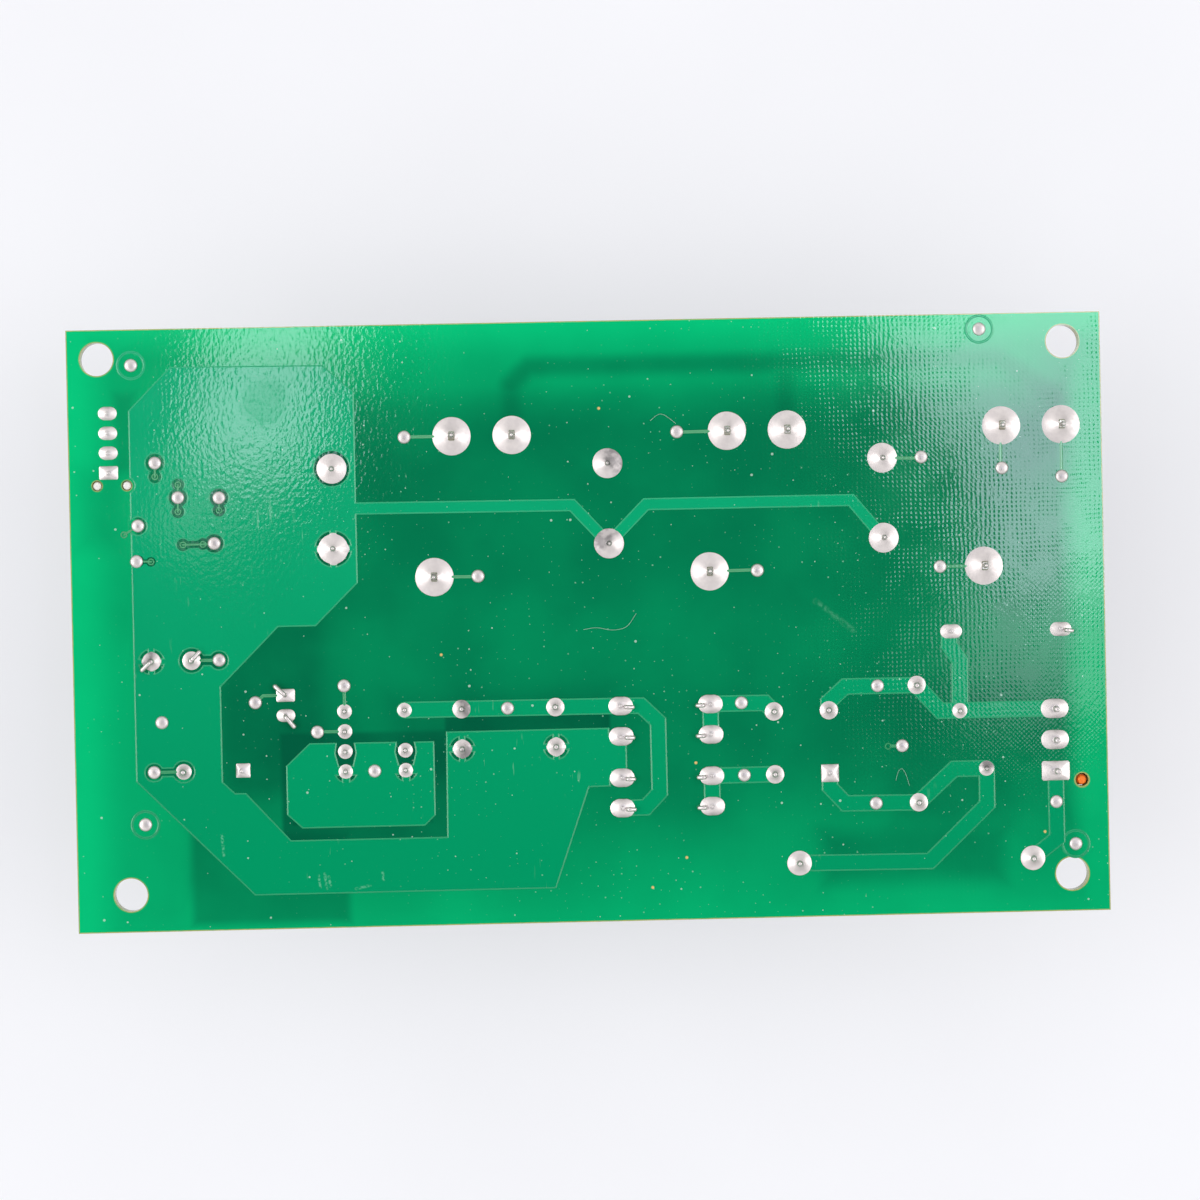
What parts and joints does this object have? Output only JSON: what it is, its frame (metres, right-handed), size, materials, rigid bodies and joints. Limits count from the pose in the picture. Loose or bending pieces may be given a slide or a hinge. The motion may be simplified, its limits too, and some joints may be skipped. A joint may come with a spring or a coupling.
{
  "type": "oven control board",
  "caption": "Rectangular green circuit board with power relays, a small mains supply and plug headers on its hidden side and soldered joints and copper lines in view; switches oven heaters.",
  "frame": {"origin": "on the ground under the middle of the board, at the level of the relays' blade tips", "axes": "+X along the board's length towards the mains header, +Y across it towards the relay side, +Z out of the solder side"},
  "size_m": [0.131, 0.0762, 0.0316],
  "materials": {
    "laminate": "green solder mask over woven glass laminate, satin with a faint weave",
    "masked_copper": "copper under green solder mask, satin",
    "solder": "tin solder, bright to dull",
    "tinned_metal": "tinned wire and pins",
    "blade_brass": "tinned brass blade",
    "relay_cover": "moulded black cover",
    "relay_base": "moulded black base",
    "white_nylon": "moulded white nylon",
    "orange_nylon": "moulded orange nylon",
    "fuse_glass": "clear glass",
    "fuse_cap": "nickel plate",
    "varistor_coat": "blue dipped epoxy",
    "capacitor_box": "yellow moulded box",
    "ferrite": "sintered ferrite",
    "black_resin": "moulded black resin",
    "copper_wire": "enamelled copper wire",
    "can_sleeve": "dark shrink sleeve over an aluminium can",
    "inductor_sleeve": "black shrink sleeve",
    "resistor_coat": "pale blue coating"
  },
  "bodies": {
    "root": {"bulk_capacitor_1": "can_sleeve", "bulk_capacitor_2": "can_sleeve", "capacitor_leads": "tinned_metal", "chip_resistors": "black_resin", "choke_bobbin": "black_resin", "choke_core": "ferrite", "choke_pins": "tinned_metal", "choke_windings": "copper_wire", "circuit_board": "laminate", "clamp_diodes": "black_resin", "component_side_copper": "masked_copper", "control_header_housing": "white_nylon", "control_header_pins": "tinned_metal", "driver_transistors": "black_resin", "drum_inductor": "inductor_sleeve", "feedback_capacitor": "can_sleeve", "fiducial_marks": "solder", "fuse_caps": "fuse_cap", "fuse_leads": "tinned_metal", "fuse_tube": "fuse_glass", "fuse_wire": "tinned_metal", "inductor_leads": "tinned_metal", "lead_solder_joints": "solder", "line_capacitor_case": "capacitor_box", "line_capacitor_leads": "tinned_metal", "mains_header_housing": "orange_nylon", "mains_header_pins": "tinned_metal", "output_capacitor": "can_sleeve", "rectifier_diode_1": "black_resin", "rectifier_diode_2": "black_resin", "rectifier_diode_3": "black_resin", "rectifier_diode_4": "black_resin", "rectifier_leads": "tinned_metal", "relay_1_base": "relay_base", "relay_1_coil_pins": "tinned_metal", "relay_1_contact_blades": "blade_brass", "relay_1_cover": "relay_cover", "relay_2_base": "relay_base", "relay_2_coil_pins": "tinned_metal", "relay_2_contact_blades": "blade_brass", "relay_2_cover": "relay_cover", "relay_3_base": "relay_base", "relay_3_coil_pins": "tinned_metal", "relay_3_contact_blades": "blade_brass", "relay_3_cover": "relay_cover", "relay_solder_joints": "solder", "resistor_body": "resistor_coat", "resistor_leads": "tinned_metal", "solder_side_copper": "masked_copper", "supply_chip": "black_resin", "supply_chip_pins": "tinned_metal", "surface_part_ends": "tinned_metal", "test_points": "solder", "varistor_disc": "varistor_coat", "varistor_leads": "tinned_metal"}
  },
  "joints": []
}
